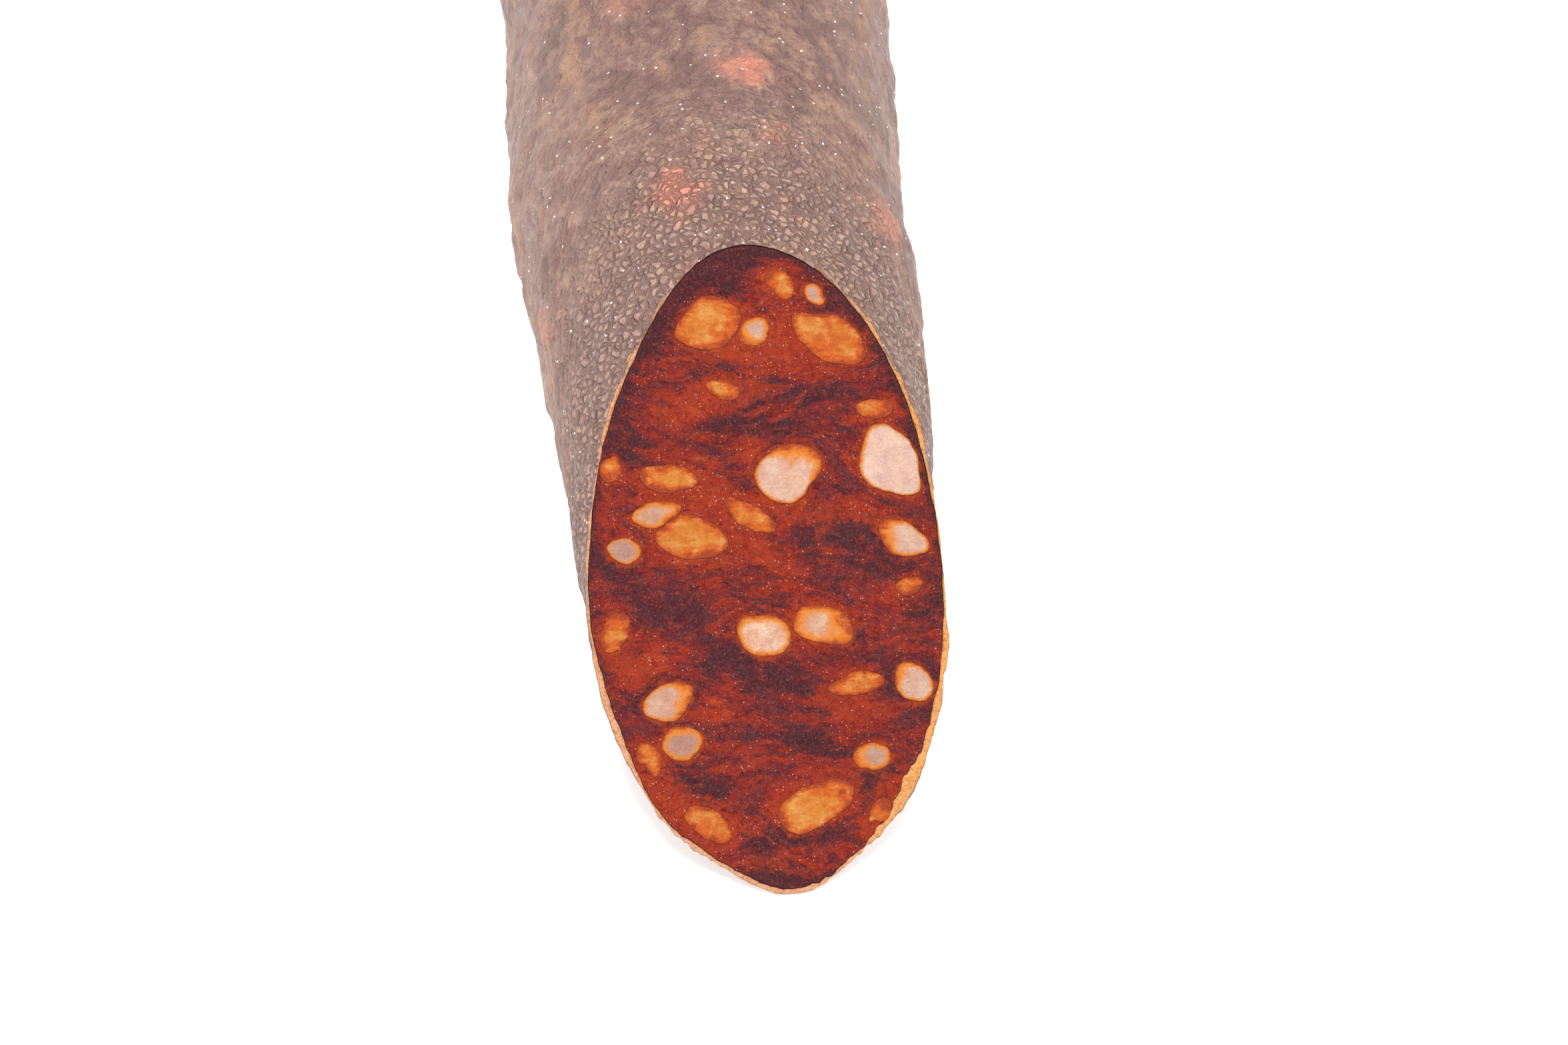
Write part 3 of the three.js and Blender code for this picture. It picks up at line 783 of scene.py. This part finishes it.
tearing = summed(lean, [(streaks, 0.5, 1.8), (crumbs, 0.5, 1.1)])
torn_dark = maths(lean, "SUBTRACT", mark_of(lean, "dark"), tearing)
torn_oily = maths(lean, "ADD", mark_of(lean, "oily"), tearing)
torn_halo = maths(lean, "ADD", mark_of(lean, "halo"), times(lean, tearing, 0.6))
# Single fibres show as thin lines along the flow, where a noise passes one value: some pale, some dark.
fibre_noise = noise_of(lean, along_flow(0.5, 1.7), 1.0, 6.0, 0.7, 1.2)
pale_fibre = maths(lean, "ABSOLUTE", maths(lean, "SUBTRACT", fibre_noise, 0.54), 0.0)
dark_fibre = maths(lean, "ABSOLUTE", maths(lean, "SUBTRACT", fibre_noise, 0.46), 0.0)
purple = noise_of(lean, along_flow(0.14, 0.4), 1.7, 5.0, 0.65, 0.8)
# Painted glints: small pale dots in the colour, most where the meat is orange.
glints = add(lean, "TexVoronoi", {"feature": "F1"}, Vector=lean_spot, Scale=2.1)
picked = add(lean, "SeparateColor", Color=glints.outputs[1]).outputs[0]
glint = times(lean, mapped(lean, glints.outputs[0], 0.08, 0.22, 1, 0), mapped(lean, picked, 0.5, 0.55))
glint = times(lean, glint, mapped(lean, value, 0.55, 0.8, 0.2, 0.85))
colour = blend(lean, mapped(lean, value, 0.42, 0.58), "#54202b", "#782428")
colour = layered(lean, colour, [
    (mapped(lean, value, 0.6, 0.74), "#98291f"),
    (mapped(lean, value, 0.76, 0.9), "#a62f1e"),
    (mapped(lean, value, 0.94, 1.08), "#bb4e26"),
    (mapped(lean, pale_fibre, 0.0, 0.02, 0.3, 0.0), "#cf7446"),
    (mapped(lean, dark_fibre, 0.0, 0.025, 0.35, 0.0), "#43191f"),
    (mapped(lean, purple, 0.53, 0.64, 0, 0.7), "#522632"),
    (mapped(lean, torn_dark, 0.4, 0.95, 0, 0.7), "#4c232a"),
    (mapped(lean, torn_oily, 0.45, 1.15, 0, 0.6), "#b53c1a"),
    (mapped(lean, torn_halo, 0.45, 0.95, 0, 0.85), "#ad3f18"),
    (mapped(lean, crumbs, 0.48, 0.34, 0, 0.5), "#401a1e"),
    # Painted highlights on the raised crumbs and grain, in this layer and the next.
    (mapped(lean, crumbs, 0.56, 0.7, 0, 0.3), "#c95c2f"),
    (mapped(lean, meat_grain, 0.54, 0.68, 0, 0.36), "#d3784a"),
    (mapped(lean, meat_grain, 0.46, 0.32, 0, 0.4), "#401a1e"),
    # Painted glints.
    (glint, "#efcbb0"),
])
relief = summed(lean, [(crumbs, 0, 1), (meat_grain, 0, 0.6)])
lean_shine = mapped(lean, meat_grain, 0.35, 0.65, 0.25, 0.5)
finished(lean, colour, lean_shine, relief, 0.0008, Specular_IOR_Level=0.25)


def placed(places, seed):
    """Soft patches with wandering edges, each given as its middle across and up the face, its long and
    short size, and the turn of its long side in degrees: bell curves of the distance to each."""
    shift_x, shift_y = 1.6 * noise(spot / 4.5, seed), 1.6 * noise(spot / 4.5, seed + 1)
    total = np.zeros_like(up)
    for middle_x, middle_y, long_size, short_size, turn_degrees in places:
        c, s = np.cos(np.radians(turn_degrees)), np.sin(np.radians(turn_degrees))
        dx, dy = across - middle_x + shift_x, up - middle_y + shift_y
        away = np.hypot((dx * c + dy * s) / long_size, (dy * c - dx * s) / short_size) * 2
        total = np.maximum(total, np.exp(-(away**3) * 0.7))
    return total


# Where the meat is darker: dry, coarse lumps, and the crust under the upper edge.
DARK_PLACES = [
    (17, -16, 8, 6, -30), (-3, -41, 12, 4, 0), (-14.5, -5, 9, 6, -15), (-2.5, -14.5, 19, 5, -22),
    (16, -1, 9, 5, -20), (1.5, -36, 14, 5.5, 6), (11.5, -29, 5.5, 7, 0),
    (-19, 17.5, 7, 8, 60), (-20, 0, 8, 4.5, -60), (19.5, -5.5, 7, 6, 0), (9, 4, 15, 4.5, -12),
    (-8, 36.5, 14, 5, 28), (11.5, 34, 12, 4.5, -38), (-2, 19, 20, 3, 0), (9, 23, 10, 3.5, -8),
    (-11, -30, 10, 3.5, -12), (4, -24, 12, 3, -15), (-5, 27.5, 8, 4, 0), (-14, -17, 8, 3.5, 15),
]
# Where paprika oil has made it orange.
WARM_PLACES = [
    (6, 7.5, 14, 5, -25), (-1.5, 15.5, 6, 5, 35), (-11, 21.5, 11, 5, 10), (13, 6.5, 6, 5, 0),
    (-14.5, -32, 14, 6, -38), (14, -33, 12, 5, 52), (-1.5, -39.5, 11, 3.5, 0), (0, 0.7, 10, 3.5, -15),
    (-18, -13, 8, 5, 10), (3, -8, 20, 7, 5), (-9, 8, 16, 8, -10), (3, 30, 18, 7, 0), (-3, 24, 12, 4, 0),
    (9, -20, 10, 3, -15), (-8, -19, 9, 3, 10), (5, -30.5, 14, 5, 20),
]
crust = np.exp(-to_edge / 1.1) * smooth_step(edge_up + 0 * up, -10, 25) + 0.35 * np.exp(-to_edge / 0.6)
crust = crust + np.exp(-to_edge / 3.0) * smooth_step(up, 26, 34) * smooth_step(-across, -6, 4)
dark_patches = placed(DARK_PLACES, 56) * (0.9 + 0.5 * torn)
warm_patches = placed(WARM_PLACES, 62) * (0.9 + 0.5 * noise(spot / 2.4, 57))
dark = np.clip(crust * (1.15 + 0.5 * noise(spot / 2, 58)) + dark_patches, 0, 1)
oily = np.clip(0.9 * amber_halo + warm_patches, 0, 1)
fill_rings = np.concatenate([face, back])
tail_zeros = np.zeros((len(back), FILL_SIDES))
flow_mark = np.stack([across, bent, 0 * up], -1)
fill_marks = {
    "flow": np.concatenate([flow_mark, np.repeat(flow_mark[-1:], len(back), 0)]),
    "spot": np.concatenate([spot, back]),
    "dark": np.concatenate([dark, tail_zeros + 0.5]),
    "oily": np.concatenate([oily, tail_zeros]),
    "halo": np.concatenate([np.clip(halo * (0.9 + 0.6 * noise(spot / 1.5, 61)), 0, 1), tail_zeros]),
}
filling = closed_mesh("cured_filling", fill_rings, lean, fill_marks)
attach(filling, "root")
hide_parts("filling")


# ---- Twine ----
# Three-ply cotton twine, wound three times round the gathered neck and knotted on top, with both
# ends trimmed short.

TWINE_RADIUS = 0.9
TWINE_TURNS = 3
TWINE_END = 8
WOUND_LENGTH = 8.1

# Undyed cotton: matt, with the slant of its fibres showing as fine lines.
cotton = new_material("undyed cotton twine")
lay = mark_of(cotton, "lay", 1)
fibre_lines = noise_of(cotton, lay, 1.0, 4.0, 0.6, 0.2)
cotton_tone = blend(cotton, mapped(cotton, fibre_lines, 0.35, 0.65), "#b59a72", "#e0cfae")
finished(cotton, cotton_tone, 0.9, fibre_lines, 0.00015, Specular_IOR_Level=0.2, Sheen_Weight=0.3)


def strand(path, radius, sides, lines):
    """A round strand swept along a path, closed at both ends: each ring lies across the path's slope."""
    slope = np.gradient(path, axis=0)
    slope /= np.linalg.norm(slope, axis=1, keepdims=True)
    side = np.cross(slope, np.array([0.31, 0.87, 0.38]))
    side /= np.linalg.norm(side, axis=1, keepdims=True)
    other = np.cross(slope, side)
    turns = np.linspace(0, 2 * np.pi, sides, endpoint=False)
    ring = side[:, None] * np.cos(turns)[None, :, None] + other[:, None] * np.sin(turns)[None, :, None]
    rings = path[:, None] + ring * radius
    length = np.cumsum(np.linalg.norm(np.gradient(path, axis=0), axis=1))
    along = length[:, None]
    lay = np.stack([along * 0.6 + turns * 0.9, turns * 3 + along * 2, lines + 0 * along + 0 * turns], -1)
    ends = [path[[end], None] + 0 * rings[:1] for end in (0, -1)]
    return np.concatenate([ends[0], rings, ends[1]]), np.concatenate([lay[:1], lay, lay[-1:]])


def rope(path, name):
    """Three strands twisted about the path, each at half the twine's radius from its middle."""
    length = np.cumsum(np.linalg.norm(np.gradient(path, axis=0), axis=1))
    slope = np.gradient(path, axis=0)
    slope /= np.linalg.norm(slope, axis=1, keepdims=True)
    side = np.cross(slope, np.array([0.13, 0.95, 0.28]))
    side /= np.linalg.norm(side, axis=1, keepdims=True)
    other = np.cross(slope, side)
    for ply in range(3):
        twist = length * 2 * np.pi / 5.5 + ply * 2 * np.pi / 3
        offset = side * np.cos(twist)[:, None] + other * np.sin(twist)[:, None]
        rings, lay = strand(path + offset * TWINE_RADIUS * 0.46, TWINE_RADIUS * 0.52, 10, ply * 7.0)
        piece = closed_mesh(f"{name}_ply_{ply + 1}", rings, cotton, {"lay": lay})
        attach(piece, "root")
        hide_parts("twine")


neck_start = BODY_LENGTH + 1.2 + TWINE_RADIUS
wind = np.linspace(0, 1, 260)
wind_angle = 2 * np.pi * TWINE_TURNS * wind
wind_radius = NECK_RADIUS + 0.3 + TWINE_RADIUS
wind_y = neck_start + (WOUND_LENGTH - 2 * TWINE_RADIUS) * wind
wind_x = axis_x(wind_y) + wind_radius * np.sin(wind_angle)
wind_z = axis_z(wind_y) + wind_radius * np.cos(wind_angle)
rope(np.stack([wind_x, wind_y, wind_z], -1), "twine_winding")

knot_y = BODY_LENGTH + NECK_LENGTH / 2
knot_top = axis_z(knot_y) + NECK_RADIUS + 0.3 + TWINE_RADIUS
knot_place = np.array([axis_x(knot_y), knot_y, knot_top])
loop = np.linspace(0, 2 * np.pi, 140)
knot = [0.9 * np.sin(2 * loop), (WOUND_LENGTH / 2 - 0.6) * np.cos(loop), 1.55 + 1.15 * np.sin(loop)]
rope(knot_place + np.stack(knot, -1), "twine_knot")
reach_share = np.linspace(0, 1, 60)
for side_sign in (-1, 1):
    x = side_sign * TWINE_END * 0.92 * reach_share
    y = side_sign * (1.1 * np.sin(np.pi * reach_share) + 0.9 * reach_share)
    z = 1.5 + 1.4 * np.sin(np.pi * reach_share * 0.9) + 0.9 * reach_share
    rope(knot_place + np.stack([x, y, z], -1), "twine_end_left" if side_sign < 0 else "twine_end_right")


# ---- Setting ----
# A plain white table and a bright, even studio: light comes from all round, and a little more from a
# large soft lamp overhead, a little in front.

table_white = new_material("plain white table")
table_shader = add(table_white, "BsdfPrincipled", Roughness=0.9, Specular_IOR_Level=0.1)
table_shader.inputs["Base Color"].default_value = linear("#f7f6f5")
table_shader.inputs["Emission Color"].default_value = (1, 1, 1, 1)
table_shader.inputs["Emission Strength"].default_value = 0.5
add(table_white, "OutputMaterial", Surface=table_shader.outputs[0])
table_mesh = bpy.data.meshes.new("table")
corners = [(-4, -4, -0.0002), (4, -4, -0.0002), (4, 4, -0.0002), (-4, 4, -0.0002)]
table_mesh.from_pydata(corners, [], [(0, 1, 2, 3)])
table_mesh.materials.append(table_white)
table = bpy.data.objects.new("table", table_mesh)
bpy.context.scene.collection.objects.link(table)

world = bpy.data.worlds.new("even studio")
world.use_nodes = True
world.node_tree.nodes["Background"].inputs["Color"].default_value = (1, 1, 1, 1)
world.node_tree.nodes["Background"].inputs["Strength"].default_value = 0.8
bpy.context.scene.world = world


def lamp(name, place, aim, size, power):
    light = bpy.data.lights.new(name, "AREA")
    light.shape, light.size, light.energy = "DISK", size, power
    holder = bpy.data.objects.new(name, light)
    bpy.context.scene.collection.objects.link(holder)
    holder.location = place
    holder.rotation_euler = (Vector(aim) - Vector(place)).to_track_quat("-Z", "Y").to_euler()


lamp("main soft lamp", (-0.15, -0.3, 1.5), (0, -0.02, 0), 0.7, 29)

# The camera looks down at the cut face from 42 degrees, a little from the left and slightly rolled.
CAMERA_DISTANCE = 0.696
aim = (np.array([3.9, 45.5, 24.0]) + to_row) / 1000
elevation, azimuth, roll = np.radians([42, -13.5, 6.5])
level = np.cos(elevation)
back_way = np.array([np.sin(azimuth) * level, -np.cos(azimuth) * level, np.sin(elevation)])
right = np.cross([0, 0, 1], back_way)
right /= np.linalg.norm(right)
upward = np.cross(back_way, right)
rolled_right = right * np.cos(roll) + upward * np.sin(roll)
rolled_up = -right * np.sin(roll) + upward * np.cos(roll)
camera_data = bpy.data.cameras.new("camera")
camera_data.lens, camera_data.sensor_width = 120, 36
camera_data.clip_start = 0.01
camera = bpy.data.objects.new("camera", camera_data)
bpy.context.scene.collection.objects.link(camera)
turn_matrix = Matrix([Vector(rolled_right), Vector(rolled_up), Vector(back_way)]).transposed().to_4x4()
camera.matrix_world = Matrix.Translation(Vector(aim + back_way * CAMERA_DISTANCE)) @ turn_matrix
bpy.context.scene.camera = camera
bpy.context.scene.view_settings.view_transform = "Standard"
